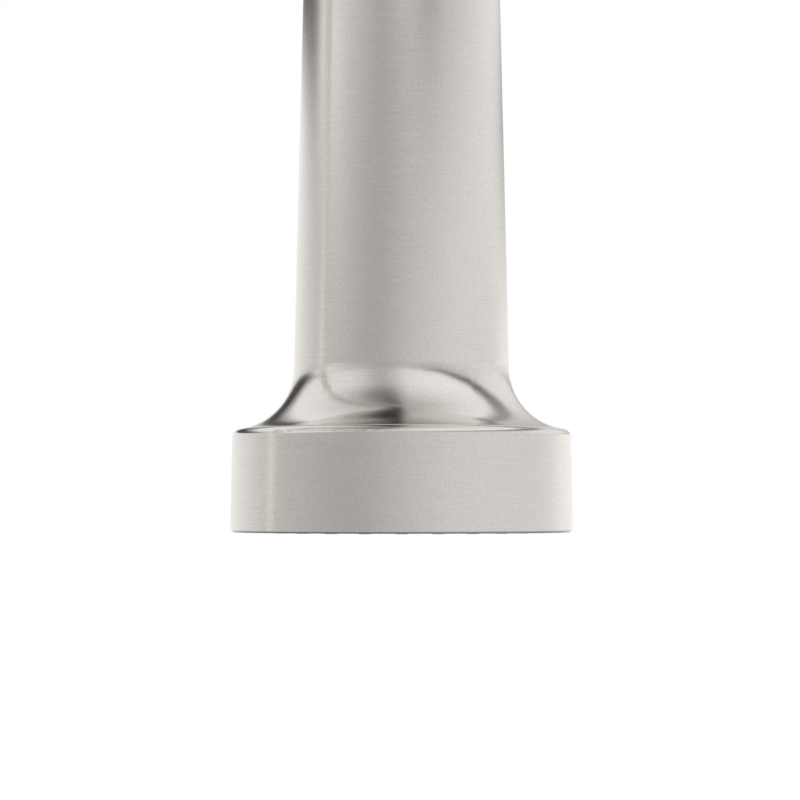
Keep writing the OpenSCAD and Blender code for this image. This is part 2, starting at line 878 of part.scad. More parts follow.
module stem() color("#c0c0c0") {
    difference() {
        union() {
            translate([stem_ball_x, 0, valve_z]) sphere(r = stem_ball_r);
            along_x(stem_ball_x) cylinder(r = stem_neck_r, h = stem_end_x - stem_ball_x);
            along_x(stem_neck_end) cylinder(r = stem_rod_r, h = stem_end_x - stem_neck_end);
        }
        stem_pin_bar(stem_pin_r + run_gap, 4 * stem_rod_r);
    }
}

module bonnet_nut() color("#c9a95a") {
    difference() {
        union() {
            along_x(housing_step_x) cylinder(r = bonnet_r, h = bonnet_hex_x - housing_step_x);
            along_x(bonnet_hex_x - over)
                cylinder(r = bonnet_hex_r, h = bonnet_end_x - bonnet_hex_x + over, $fn = 6);
        }
        along_x(0) cylinder(r = housing_lip_r + close_gap, h = housing_end_x + seat_gap);
        along_x(0) cylinder(r = bonnet_lip_r, h = bonnet_end_x + over);
    }
}

module trim_dome() color("#b9b5af") {
    along_x() rotate_extrude() difference() {
        intersection() {
            translate([0, pivot_x]) circle(r = dome_r);
            translate([0, dome_x]) square([2 * dome_r, 2 * dome_r]);
        }
        translate([0, pivot_x]) circle(r = dome_r - dome_wall);
        translate([0, pivot_x]) square([dome_mouth_r, 2 * dome_r]);
        translate([-3 * dome_r, 0]) square([3 * dome_r, 3 * dome_r]);
    }
}

// Handle

module hub_solid() {
    along_x() rotate_extrude() union() {
        translate([0, hub_x]) square([hub_r - hub_fillet, hub_len]);
        translate([0, hub_x]) square([hub_r, hub_len - hub_fillet]);
        translate([hub_r - hub_fillet, hub_end - hub_fillet]) circle(r = hub_fillet);
    }
}

module handle_hub() color("#b9b5af") {
    difference() {
        hub_solid();
        translate([pivot_x, 0, valve_z]) sphere(r = hub_cavity_r);
        along_x(pivot_x) cylinder(r = stem_rod_r + pin_gap, h = stem_end_x - pivot_x + seat_gap);
        translate([lever_x, 0, valve_z + lever_seat])
            cylinder(r = lever_root_r + pin_gap, h = 2 * hub_r);
        translate([handle_screw_x, 0, valve_z - 2 * hub_r])
            cylinder(r = handle_screw_r + pin_gap, h = 2 * hub_r);
    }
}

// A slender round bar that widens towards its rounded tip
module handle_lever() color("#b9b5af") {
    lever_h = hub_r - lever_seat + lever_len;
    translate([lever_x, 0, valve_z + lever_seat]) rotate_extrude() union() {
        polygon([
            [0, 0], [lever_root_r, 0], [lever_root_r, hub_r - lever_seat],
            [lever_tip_r, lever_h - lever_tip_round],
            [lever_tip_r - lever_tip_round, lever_h - lever_tip_round],
            [lever_tip_r - lever_tip_round, lever_h], [0, lever_h]
        ]);
        translate([lever_tip_r - lever_tip_round, lever_h - lever_tip_round]) circle(r = lever_tip_round);
    }
}

module handle_screw() color("#9a9a9a") {
    translate([handle_screw_x, 0, valve_z - stem_rod_r - handle_screw_len - close_gap]) difference() {
        cylinder(r = handle_screw_r, h = handle_screw_len, $fn = round_fn);
        translate([0, 0, -over]) cylinder(r = 1, h = over + 1.6, $fn = 6);
    }
}

module screw_cap() color("#8f8c88") {
    translate([handle_screw_x, 0, valve_z - hub_r + 0.6]) cylinder(r = handle_screw_r, h = cap_t);
}

// Supply tubes and fittings below the deck

module supply_tubes() color("#b87345") {
    foot = -inlet_drop + nipple_len;
    supply_pair() translate([0, 0, foot]) ring(copper_r, copper_in_r, tube_seat_z - foot);
}

module outlet_tube() color("#b87345") {
    foot = -outlet_end + outlet_stem_len;
    translate([outlet_x, 0, foot]) ring(copper_r, copper_in_r, tube_seat_z - foot);
}

module inlet_nipples() color("#c9a95a") {
    supply_pair() translate([0, 0, -inlet_drop]) difference() {
        union() {
            cylinder(r = inlet_r, h = nipple_len);
            translate([0, 0, nipple_len - nipple_collar_len])
                cylinder(r = nipple_collar_r, h = nipple_collar_len);
        }
        translate([0, 0, -over]) cylinder(r = copper_in_r, h = nipple_len + 2 * over);
    }
}

module outlet_stem() color("#c9a95a") {
    translate([outlet_x, 0, -outlet_end]) ring(outlet_stem_r, copper_in_r, outlet_stem_len);
}

// The spray hose from the column's top down past the valve and out of the shank
module hose_path(r) {
    translate([0, 0, hose_top_z]) mirror([0, 0, 1]) bend(hose_bend_r, hose_bend_a, r);
    translate([-hose_shift, 0, hose_bend_z]) mirror([1, 0, 0]) bend(hose_bend_r, hose_bend_a, r);
    translate([-hose_shift, 0, hose_foot_z]) cylinder(r = r, h = hose_bend_z - hose_foot_z);
}

module hose_lower() color("#8c8f92") {
    difference() {
        hose_path(hose_r);
        hose_path(hose_bore_r);
        translate([-hose_shift, 0, hose_foot_z - over]) cylinder(r = hose_bore_r, h = 2 * over);
    }
}

module hose_end() color("#c9a95a") {
    end_len = hose_end_crimp_len + hose_end_nut_len;
    translate([-hose_shift, 0, hose_foot_z - end_len]) difference() {
        union() {
            cylinder(r = hose_end_nut_r, h = hose_end_nut_len, $fn = 6);
            cylinder(r = hose_end_r, h = end_len);
        }
        translate([0, 0, -over]) cylinder(r = hose_bore_r, h = end_len + 2 * over);
    }
}

// Mounting clamp

module rubber_washer() color("#1f1f1f") {
    translate([0, 0, -deck_t - rubber_t]) ring(deck_washer_r, deck_washer_bore_r, rubber_t);
}

module steel_washer() color("#c4c4c4") {
    translate([0, 0, -deck_t - rubber_t - steel_t]) ring(deck_washer_r, deck_washer_bore_r, steel_t);
}

module clamp_places() {
    translate([0, 0, -deck_t - rubber_t - steel_t]) disc_ring(clamp_count, clamp_ring_r) children();
}

module mounting_nut() color("#c9a95a") {
    top_gap = 3;
    difference() {
        translate([0, 0, -deck_t - rubber_t - steel_t - top_gap - mount_nut_t])
            cylinder(r = mount_nut_r, h = mount_nut_t, $fn = 6);
        cylinder(r = shank_r + run_gap, h = 4 * shank_len, center = true);
        clamp_places() cylinder(r = clamp_r + pin_gap, h = 6 * mount_nut_t, center = true);
    }
}

module clamp_screws() color("#b0b0b0") {
    clamp_places() translate([0, 0, -clamp_len]) {
        cylinder(r = clamp_r, h = clamp_len);
        difference() {
            translate([0, 0, -clamp_head_t]) cylinder(r = clamp_head_r, h = clamp_head_t);
            translate([-clamp_head_r, -0.4, -clamp_head_t - over]) cube([2 * clamp_head_r, 0.8, 1 + over]);
        }
    }
}

column_body();
base_flange();
base_gasket();
shank();
valve_body();
port_seals();
cartridge_housing();
fixed_disc();
bonnet_nut();
trim_dome();
supply_tubes();
outlet_tube();
inlet_nipples();
outlet_stem();
upper_bush();
lower_bush();
spout_screw();
thrust_washer();
hose_lower();
hose_end();
spout_tube();
spout_spigot();
dock_collar();
dock_guide();
dock_magnet();
hose_upper();
swivel_nipple();
hose_crimp();
hose_drop();
head_shell();
spray_plate();
nozzle_mat();
aerator_housing();
aerator_screen();
spray_engine();
connector_nut();
filter_washer();
check_valve();
check_poppet();
head_magnet();
rocker_pin();
rocker_button();
diverter_plunger();
stem_carrier();
stem_pin();
moving_disc();
disc_driver();
stem();
handle_hub();
handle_lever();
handle_screw();
screw_cap();
mounting_nut();
rubber_washer();
steel_washer();
clamp_screws();
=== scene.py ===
# A pull-down kitchen faucet in satin stainless steel: base and column, swivelling gooseneck,
# side lever, and a spray head on a hose.  The sections below follow it as it is put together.
import math

import bmesh
import bpy
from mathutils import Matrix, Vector


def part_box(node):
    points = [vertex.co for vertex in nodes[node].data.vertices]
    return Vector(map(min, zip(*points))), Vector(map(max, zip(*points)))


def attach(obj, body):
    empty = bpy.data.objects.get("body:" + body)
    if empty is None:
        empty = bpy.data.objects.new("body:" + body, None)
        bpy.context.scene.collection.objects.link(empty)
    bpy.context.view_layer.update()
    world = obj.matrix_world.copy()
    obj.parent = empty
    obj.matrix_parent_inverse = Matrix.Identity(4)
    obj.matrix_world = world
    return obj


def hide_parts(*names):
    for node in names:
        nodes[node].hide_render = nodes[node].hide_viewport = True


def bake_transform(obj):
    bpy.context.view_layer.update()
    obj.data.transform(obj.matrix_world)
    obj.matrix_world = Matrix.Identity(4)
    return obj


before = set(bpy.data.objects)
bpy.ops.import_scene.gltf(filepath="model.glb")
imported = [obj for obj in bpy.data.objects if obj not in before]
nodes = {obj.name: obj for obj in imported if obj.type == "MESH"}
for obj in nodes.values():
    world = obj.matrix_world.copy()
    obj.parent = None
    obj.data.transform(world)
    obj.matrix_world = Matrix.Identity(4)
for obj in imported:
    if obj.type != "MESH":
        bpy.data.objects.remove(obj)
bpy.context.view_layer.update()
scene = bpy.context.scene

# --- Camera ---------------------------------------------------------------------------------
# A long lens looks at the spray head from the side, from just above the level of its face.
head_low, head_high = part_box("head_shell")
head_y = (head_low.y + head_high.y) / 2
face_z = head_low.z
camera_distance = 0.410
eye_above_face = 0.0035
aim_above_face = 0.02105
aim_aside = 0.00026
frame_half_width = 0.0645

camera_data = bpy.data.cameras.new("studio_camera")
camera = bpy.data.objects.new("studio_camera", camera_data)
scene.collection.objects.link(camera)
scene.camera = camera
camera.location = (-camera_distance, head_y + aim_aside, face_z + eye_above_face)
camera_aim = Vector((0, head_y + aim_aside, face_z + aim_above_face))
camera_look = camera_aim - camera.location
camera.rotation_mode = "QUATERNION"
camera.rotation_quaternion = camera_look.to_track_quat("-Z", "Y")
camera_data.sensor_width = 36
camera_data.lens = camera_data.sensor_width / 2 * camera_look.length / frame_half_width
camera_data.clip_start = 0.01
camera_data.clip_end = 50

# --- Studio ---------------------------------------------------------------------------------
# A round pale floor in a white studio.  The studio is a sky of broad soft fields: a bright wall
# behind and beside the faucet, a greyer one in front, a soft dark gap above the walls and a
# ceiling that dims overhead.  Its brightness by direction is chosen for the bands in the steel.
scene.view_settings.view_transform = "Standard"
scene.view_settings.look = "None"


def add_node(tree, kind, **settings):
    node = tree.nodes.new(kind)
    for key, value in settings.items():
        setattr(node, key, value)
    return node


def feed(tree, node, socket, value):
    """Links another node's output to a socket, or sets a plain value on it."""
    if isinstance(value, bpy.types.NodeSocket):
        tree.links.new(value, node.inputs[socket])
    elif value is not None:
        node.inputs[socket].default_value = value


def calculate(tree, operation, first, second=None, third=None):
    node = add_node(tree, "ShaderNodeMath", operation=operation)
    for index, value in enumerate((first, second, third)):
        feed(tree, node, index, value)
    return node.outputs[0]


def stops(tree, value, low, high, points):
    """A smooth curve of brightness: points are (place between low and high, brightness)."""
    spread = add_node(tree, "ShaderNodeMapRange")
    feed(tree, spread, "Value", value)
    feed(tree, spread, "From Min", low)
    feed(tree, spread, "From Max", high)
    ramp = add_node(tree, "ShaderNodeValToRGB")
    ramp.color_ramp.interpolation = "B_SPLINE"
    while len(ramp.color_ramp.elements) < len(points):
        ramp.color_ramp.elements.new(0.5)
    for element, (place, brightness) in zip(ramp.color_ramp.elements, points):
        element.position = (place - low) / (high - low)
        element.color = (brightness, brightness, brightness, 1)
    tree.links.new(spread.outputs[0], ramp.inputs[0])
    return ramp.outputs[0]


def soft_step(tree, value, low, high):
    """Rises smoothly from 0 at low to 1 at high, where low may be the larger."""
    step = add_node(tree, "ShaderNodeMapRange", interpolation_type="SMOOTHSTEP")
    feed(tree, step, "Value", value)
    feed(tree, step, "From Min", low)
    feed(tree, step, "From Max", high)
    return step.outputs[0]


def mix_values(tree, factor, first, second):
    node = add_node(tree, "ShaderNodeMix", data_type="FLOAT")
    feed(tree, node, 0, factor)
    feed(tree, node, 2, first)
    feed(tree, node, 3, second)
    return node.outputs[0]


world = bpy.data.worlds.new("studio")
scene.world = world
world.use_nodes = True
sky = world.node_tree
sky.nodes.clear()
direction = add_node(sky, "ShaderNodeSeparateXYZ")
sky.links.new(add_node(sky, "ShaderNodeTexCoord").outputs["Generated"], direction.inputs[0])
east, north, up = direction.outputs
turn = calculate(
    sky, "ARCTAN2", calculate(sky, "MULTIPLY", north, -1.0), calculate(sky, "MULTIPLY", east, -1.0)
)
turn = calculate(sky, "MULTIPLY", turn, 180 / math.pi)
height = calculate(sky, "MULTIPLY", calculate(sky, "ARCSINE", up), 180 / math.pi)


def around(points):
    """A curve of brightness round the horizon: points are (turn in degrees, brightness)."""
    return stops(sky, turn, -180, 180, points)


wall_low = around(
    [
        (-180, 0.98),
        (-145, 0.92),
        (-123, 0.78),
        (-100, 0.63),
        (-74, 0.53),
        (-50, 0.47),
        (-30, 0.45),
        (-11, 0.54),
        (11, 0.65),
        (35, 0.74),
        (60, 0.77),
        (100, 0.73),
        (123, 0.86),
        (150, 1.12),
        (180, 1.2),
    ]
)
wall_middle = around(
    [
        (-180, 1.0),
        (-145, 0.94),
        (-123, 0.74),
        (-104, 0.58),
        (-74, 0.67),
        (-50, 0.52),
        (-30, 0.44),
        (-11, 0.48),
        (11, 0.61),
        (35, 0.72),
        (60, 0.80),
        (100, 0.87),
        (125, 0.85),
        (145, 0.66),
        (160, 0.45),
        (180, 0.5),
    ]
)
wall_high = around(
    [
        (-180, 0.10),
        (-126, 0.05),
        (-114, 0.30),
        (-104, 1.0),
        (-86, 1.1),
        (-65, 0.64),
        (-40, 0.48),
        (-11, 0.46),
        (11, 0.50),
        (45, 0.60),
        (70, 0.67),
        (100, 0.84),
        (125, 0.92),
        (155, 0.9),
        (180, 0.4),
    ]
)
ceiling = around(
    [
        (-180, 0.95),
        (-110, 0.92),
        (-60, 0.84),
        (-38, 0.64),
        (-22, 0.42),
        (-8, 0.66),
        (8, 0.88),
        (40, 0.96),
        (130, 1.05),
        (180, 0.95),
    ]
)
# The gap above the walls: its middle and half width are in hundreds of degrees.
degrees_per_step = 100.0
gap_height = around(
    [
        (-180, 0.24), (-150, 0.24), (-112, 0.16), (-50, 0.15), (0, 0.14), (30, 0.17),
        (52, 0.20), (93, 0.36), (137, 0.41), (180, 0.34),
    ]
)
gap_width = around(
    [
        (-180, 0.11), (-140, 0.11), (-112, 0.04), (0, 0.03), (52, 0.055), (93, 0.08),
        (180, 0.10),
    ]
)
gap_depth = around(
    [
        (-180, 0.6), (-145, 0.7), (-118, 0.4), (-100, 0.3), (-60, 0.0), (12, 0.0),
        (40, 0.9), (100, 0.9), (180, 0.5),
    ]
)
gap_height = calculate(sky, "MULTIPLY", gap_height, degrees_per_step)
gap_width = calculate(sky, "MULTIPLY", gap_width, degrees_per_step)
low_wall_fade = (3.0, 9.5)
high_wall_fade = (9.0, 12.5)
wall = mix_values(sky, soft_step(sky, height, *low_wall_fade), wall_low, wall_middle)
wall = mix_values(sky, soft_step(sky, height, *high_wall_fade), wall, wall_high)
# The ceiling dims overhead, and more so in front of the faucet.
overhead = stops(sky, height, 0, 90, [(0, 1.0), (45, 1.0), (62, 0.84), (75, 0.64), (90, 0.42)])
above = calculate(sky, "SUBTRACT", height, gap_height)
ceiling_light = calculate(sky, "MULTIPLY", ceiling, overhead)
shade_side = around(
    [
        (-180, 0), (-90, 0.1), (-55, 0.55), (-20, 0.6), (0, 0.1), (20, 0), (180, 0),
    ]
)
shade_fade = (35.0, 65.0)
shade_side = calculate(sky, "MULTIPLY", shade_side, soft_step(sky, height, *shade_fade))
ceiling_light = calculate(sky, "MULTIPLY", ceiling_light, calculate(sky, "SUBTRACT", 1.0, shade_side))
ceiling_fade = (-2.5, 2.5)
upper = mix_values(sky, soft_step(sky, above, *ceiling_fade), wall, ceiling_light)
beside_gap = calculate(sky, "DIVIDE", calculate(sky, "ABSOLUTE", above), gap_width)
gap_edge = (1.0, 0.2)
gap = calculate(sky, "MULTIPLY", soft_step(sky, beside_gap, *gap_edge), gap_depth)
upper = calculate(sky, "MULTIPLY", upper, calculate(sky, "SUBTRACT", 1.0, gap))
path = add_node(sky, "ShaderNodeLightPath")
# Light for a reflection of a reflection has its own brightness by direction, darkest in front.
# This shapes the dark patch in the hollow curve of the head; a real room has no such rule.
again = around(
    [
        (-180, 1.0), (-85, 0.9), (-60, 0.35), (-30, 0.10), (-8, 0.12), (8, 0.5),
        (24, 1.35), (180, 1.1),
    ]
)
again_level_low = 1.28
again_fade = (10.0, 20.0)
second_bounce = (2.4, 2.6)
again = mix_values(sky, soft_step(sky, height, *again_fade), again_level_low, again)
again = mix_values(sky, soft_step(sky, path.outputs["Ray Depth"], *second_bounce), 1.0, again)
upper = calculate(sky, "MULTIPLY", upper, again)
below = stops(sky, height, -90, 0, [(-90, 0.06), (-50, 0.12), (-25, 0.6), (-8, 1.0), (0, 1.0)])
light = calculate(sky, "MULTIPLY", upper, below)
# What the camera sees straight behind the faucet is plain white.
seen = mix_values(sky, path.outputs["Is Camera Ray"], light, 1.0)
background = add_node(sky, "ShaderNodeBackground")
sky.links.new(seen, background.inputs["Color"])
world_out = add_node(sky, "ShaderNodeOutputWorld")
sky.links.new(background.outputs[0], world_out.inputs["Surface"])

# The floor lies below the lowest point that the pulled-out head reaches.
floor_z = -0.24
floor_radius = 3.0
floor_mesh = bpy.data.meshes.new("floor")
floor_form = bmesh.new()
bmesh.ops.create_circle(floor_form, cap_ends=True, radius=floor_radius, segments=128)
floor_form.to_mesh(floor_mesh)
floor_form.free()
floor = bpy.data.objects.new("floor", floor_mesh)
floor.location.z = floor_z
scene.collection.objects.link(floor)
floor_paint = bpy.data.materials.new("floor_paint")
floor_paint.use_nodes = True
floor_shader = floor_paint.node_tree.nodes["Principled BSDF"]
floor_shader.inputs["Base Color"].default_value = (0.86, 0.86, 0.85, 1)
floor_shader.inputs["Roughness"].default_value = 0.7
floor_mesh.materials.append(floor_paint)

# --- Base and column ------------------------------------------------------------------------
# The column, its base disc and the dome over the valve are turned stainless steel, satin
# brushed round their own axes.  The base disc holds the column to the deck with the shank.


def new_group(name, inputs, outputs):
    """An empty shader node group; inputs are (name, socket kind, default)."""
    group = bpy.data.node_groups.new(name, "ShaderNodeTree")
    for label, kind, default in inputs:
        socket = group.interface.new_socket(label, in_out="INPUT", socket_type=kind)
        if default is not None:
            socket.default_value = default
    for label, kind in outputs:
        group.interface.new_socket(label, in_out="OUTPUT", socket_type=kind)
    return group, add_node(group, "NodeGroupInput"), add_node(group, "NodeGroupOutput")


def noise(tree, place, scale, detail=2.0):
    node = add_node(tree, "ShaderNodeTexNoise")
    feed(tree, node, "Vector", place)
    feed(tree, node, "Scale", scale)
    feed(tree, node, "Detail", detail)
    return node.outputs[0]


def round_coordinates(tree, place, centre, tip):
    """(angle, distance along, radius) about an axis through centre; tip turns the axis to +Z."""
    moved = add_node(tree, "ShaderNodeVectorMath", operation="SUBTRACT")
    feed(tree, moved, 0, place)
    feed(tree, moved, 1, centre)
    turned = add_node(tree, "ShaderNodeVectorRotate", rotation_type="EULER_XYZ")
    tree.links.new(moved.outputs[0], turned.inputs["Vector"])
    feed(tree, turned, "Rotation", tip)
    parts = add_node(tree, "ShaderNodeSeparateXYZ")
    tree.links.new(turned.outputs[0], parts.inputs[0])
    angle = calculate(tree, "ARCTAN2", parts.outputs[1], parts.outputs[0])
    flat = calculate(tree, "MULTIPLY", parts.outputs[0], parts.outputs[0])
    across = calculate(tree, "MULTIPLY_ADD", parts.outputs[1], parts.outputs[1], flat)
    return angle, parts.outputs[2], calculate(tree, "SQRT", across)


def join_xyz(tree, x, y, z):
    node = add_node(tree, "ShaderNodeCombineXYZ")
    for index, value in enumerate((x, y, z)):
        feed(tree, node, index, value)
    return node.outputs[0]


# Brush marks: long thin scratches round an axis, a fine even grain and a faint cloudiness.
# The scales say how many marks there are in a radian, or in a metre.
scratches_round = 2.2
scratches_along = 4000.0
scratches_inward = 5200.0
grain_scale = 4200.0
cloud_scale = 90.0
steel_roughness = 0.175
brush_marks, marks_in, marks_out = new_group(
    "brush_marks",
    [
        ("Centre", "NodeSocketVector", (0, 0, 0)),
        ("Tip", "NodeSocketVector", (0, 0, 0)),
        ("Strength", "NodeSocketFloat", 1.0),
    ],
    [("Roughness", "NodeSocketFloat"), ("Shade", "NodeSocketFloat"), ("Height", "NodeSocketFloat")],
)
surface = add_node(brush_marks, "ShaderNodeTexCoord").outputs["Object"]
angle, along, radius = round_coordinates(
    brush_marks, surface, marks_in.outputs["Centre"], marks_in.outputs["Tip"]
)
scratch_place = join_xyz(
    brush_marks,
    calculate(brush_marks, "MULTIPLY", angle, scratches_round),
    calculate(brush_marks, "MULTIPLY", along, scratches_along),
    calculate(brush_marks, "MULTIPLY", radius, scratches_inward),
)
scratches = noise(brush_marks, scratch_place, 1.0, 3.0)
grain = noise(brush_marks, surface, grain_scale, 1.0)
clouds = noise(brush_marks, surface, cloud_scale, 3.0)
strength = marks_in.outputs["Strength"]
scratch_swing = calculate(
    brush_marks, "MULTIPLY", calculate(brush_marks, "SUBTRACT", scratches, 0.5), strength
)
grain_swing = calculate(brush_marks, "SUBTRACT", grain, 0.5)
cloud_swing = calculate(brush_marks, "SUBTRACT", clouds, 0.5)
roughness = calculate(brush_marks, "MULTIPLY_ADD", scratch_swing, 0.08, steel_roughness)
roughness = calculate(brush_marks, "MULTIPLY_ADD", cloud_swing, 0.05, roughness)
shade = calculate(brush_marks, "MULTIPLY_ADD", scratch_swing, 0.13, 1.0)
shade = calculate(brush_marks, "MULTIPLY_ADD", grain_swing, 0.30, shade)
shade = calculate(brush_marks, "MULTIPLY_ADD", cloud_swing, 0.02, shade)
mark_height = calculate(brush_marks, "MULTIPLY_ADD", grain_swing, 0.5, scratch_swing)
for label, value in (("Roughness", roughness), ("Shade", shade), ("Height", mark_height)):
    brush_marks.links.new(value, marks_out.inputs[label])


def place_group(tree, group, **values):
    node = add_node(tree, "ShaderNodeGroup", node_tree=group)
    for label, value in values.items():
        feed(tree, node, label, value)
    return node.outputs


def shaded(tree, colour, shade):
    """The plain colour made lighter or darker over the surface."""
    node = add_node(tree, "ShaderNodeVectorMath", operation="SCALE")
    feed(tree, node, 0, colour)
    feed(tree, node, "Scale", shade)
    return node.outputs[0]


def new_material(name, metallic=0.0):
    material = bpy.data.materials.new(name)
    material.use_nodes = True
    shader = material.node_tree.nodes["Principled BSDF"]
    shader.inputs["Metallic"].default_value = metallic
    return material, material.node_tree, shader


def bump(tree, shader, height, distance, strength=1.0):
    node = add_node(tree, "ShaderNodeBump")
    feed(tree, node, "Height", height)
    feed(tree, node, "Distance", distance)
    feed(tree, node, "Strength", strength)
    tree.links.new(node.outputs["Normal"], shader.inputs["Normal"])


steel_colour = (0.812, 0.777, 0.738)
brush_depth = 0.0000012


def satin_steel(name, centre, tip=(0, 0, 0), strength=1.0, colour=steel_colour):
    """Brushed round the axis through centre; tip turns that axis upright."""
    material, tree, shader = new_material(name, 1.0)
    marks = place_group(tree, brush_marks, Centre=centre, Tip=tip, Strength=strength)
    tree.links.new(shaded(tree, colour, marks["Shade"]), shader.inputs["Base Color"])
    tree.links.new(marks["Roughness"], shader.inputs["Roughness"])
    bump(tree, shader, marks["Height"], brush_depth, 0.5)
    return material


def dress(names, material):
    """Gives CAD nodes or new pieces their material."""
    for name in names:
        piece = nodes[name] if name in nodes else bpy.data.objects[name]
        piece.data.materials.clear()
        piece.data.materials.append(material)


column_steel = satin_steel("column_steel", (0, 0, 0))
dress(["column_body", "base_flange"], column_steel)
valve_low, valve_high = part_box("valve_body")
valve_z = (valve_low.z + valve_high.z) / 2
handle_steel = satin_steel("handle_steel", (0, 0, valve_z), (0, math.radians(-90), 0))
dress(["trim_dome"], handle_steel)

# --- Seals and plastic parts ----------------------------------------------------------------
# Rubber seals, the deck gasket and the moulded plastic parts.  Moulded surfaces have a fine
# even texture; rubber also has a dusty bloom.
moulded_grain, grain_in, grain_out = new_group(
    "moulded_grain",
    [("Size", "NodeSocketFloat", 0.0004), ("Bloom", "NodeSocketFloat", 0.0)],
    [("Roughness", "NodeSocketFloat"), ("Shade", "NodeSocketFloat"), ("Height", "NodeSocketFloat")],
)
surface = add_node(moulded_grain, "ShaderNodeTexCoord").outputs["Object"]
fine_scale = calculate(moulded_grain, "DIVIDE", 1.0, grain_in.outputs["Size"])
fine = noise(moulded_grain, surface, fine_scale, 3.0)
broad = noise(moulded_grain, surface, 60.0, 4.0)
fine_swing = calculate(moulded_grain, "SUBTRACT", fine, 0.5)
broad_swing = calculate(moulded_grain, "SUBTRACT", broad, 0.5)
bloom = calculate(moulded_grain, "MULTIPLY", broad_swing, grain_in.outputs["Bloom"])
grain_shade = calculate(moulded_grain, "MULTIPLY_ADD", fine_swing, 0.14, 1.0)
grain_values = {
    "Roughness": calculate(moulded_grain, "MULTIPLY_ADD", fine_swing, 0.2, broad_swing),
    "Shade": calculate(moulded_grain, "ADD", grain_shade, bloom),
    "Height": fine_swing,
}
for label, value in grain_values.items():
    moulded_grain.links.new(value, grain_out.inputs[label])


def moulded(name, colour, roughness, size=0.0004, bloom_amount=0.0, depth=0.00003):
    material, tree, shader = new_material(name)
    grain = place_group(tree, moulded_grain, Size=size, Bloom=bloom_amount)
    tree.links.new(shaded(tree, colour, grain["Shade"]), shader.inputs["Base Color"])
    uneven = calculate(tree, "MULTIPLY_ADD", grain["Roughness"], 0.25, roughness)
    tree.links.new(uneven, shader.inputs["Roughness"])
    bump(tree, shader, grain["Height"], depth, 0.6)
    return material


black_rubber = moulded("black_rubber", (0.028, 0.027, 0.027), 0.62, 0.0003, 0.9)
dark_plastic = moulded("dark_plastic", (0.045, 0.046, 0.050), 0.42, 0.0004)
white_plastic = moulded("white_plastic", (0.80, 0.80, 0.77), 0.36, 0.0006, 0.05, 0.00001)
orange_plastic = moulded("orange_plastic", (0.72, 0.26, 0.05), 0.38, 0.0006, 0.08, 0.00001)
blue_plastic = moulded("blue_plastic", (0.05, 0.19, 0.42), 0.38, 0.0006, 0.08, 0.00001)
dress(["base_gasket", "port_seals", "rubber_washer", "filter_washer"], black_rubber)

# --- Shank, nut and water tubes -------------------------------------------------------------
# A threaded brass shank goes through the deck; its nut, washers and three clamp screws pull the
# faucet down.  Copper tubes bring the water and end in threaded brass nipples.
machined_tint, tint_in, tint_out = new_group(
    "machined_tint",
    [("Tarnish", "NodeSocketFloat", 0.3)],
    [("Roughness", "NodeSocketFloat"), ("Shade", "NodeSocketFloat"), ("Height", "NodeSocketFloat")],
)
surface = add_node(machined_tint, "ShaderNodeTexCoord").outputs["Object"]
stain = noise(machined_tint, surface, 140.0, 5.0)
tool_marks = noise(machined_tint, surface, 5000.0, 2.0)
stain_swing = calculate(machined_tint, "SUBTRACT", stain, 0.5)
tool_swing = calculate(machined_tint, "SUBTRACT", tool_marks, 0.5)
stain_shade = calculate(machined_tint, "MULTIPLY", stain_swing, tint_in.outputs["Tarnish"])
tool_shade = calculate(machined_tint, "MULTIPLY_ADD", tool_swing, 0.05, 1.0)
tint_shade = calculate(machined_tint, "ADD", tool_shade, stain_shade)
tint_values = {
    "Roughness": calculate(machined_tint, "MULTIPLY_ADD", tool_swing, 0.1, stain_swing),
    "Shade": tint_shade,
    "Height": tool_swing,
}
for label, value in tint_values.items():
    machined_tint.links.new(value, tint_out.inputs[label])


def machined(name, colour, roughness, tarnish=0.15):
    material, tree, shader = new_material(name, 1.0)
    tint = place_group(tree, machined_tint, Tarnish=tarnish)
    tree.links.new(shaded(tree, colour, tint["Shade"]), shader.inputs["Base Color"])
    uneven = calculate(tree, "MULTIPLY_ADD", tint["Roughness"], 0.3, roughness)
    tree.links.new(uneven, shader.inputs["Roughness"])
    bump(tree, shader, tint["Height"], 0.000004, 0.5)
    return material


brass = machined("brass", (0.79, 0.62, 0.33), 0.28)
copper = machined("copper", (0.83, 0.44, 0.28), 0.24)
bright_steel = machined("bright_steel", (0.66, 0.655, 0.645), 0.22, 0.06)


def link_piece(name, form, smooth_angle=35.0):
    """Makes an object of a finished bmesh, shaded smooth except at its sharp edges."""
    mesh = bpy.data.meshes.new(name)
    bmesh.ops.recalc_face_normals(form, faces=form.faces)
    sharp = math.radians(smooth_angle)
    for face in form.faces:
        face.smooth = True
    for edge in form.edges:
        edge.smooth = len(edge.link_faces) == 2 and edge.calc_face_angle(0) < sharp
    form.to_mesh(mesh)
    form.free()
    piece = bpy.data.objects.new(name, mesh)
    scene.collection.objects.link(piece)
    return piece


def sweep_rows(form, rows):
    """Joins rows of points into one closed skin: the last row joins the first."""
    rings = [[form.verts.new(point) for point in row] for row in rows]
    for index, low_ring in enumerate(rings):
        high_ring = rings[(index + 1) % len(rings)]
        steps = len(low_ring)
        for step in range(steps):
            after = (step + 1) % steps
            form.faces.new([low_ring[step], low_ring[after], high_ring[after], high_ring[step]])


def circle_row(centre, radius_at, steps, z):
    row = []
    for step in range(steps):
        turned = 2 * math.pi * step / steps
        radius = radius_at(turned)
        row.append((centre[0] + radius * math.cos(turned), centre[1] + radius * math.sin(turned), z))
    return row


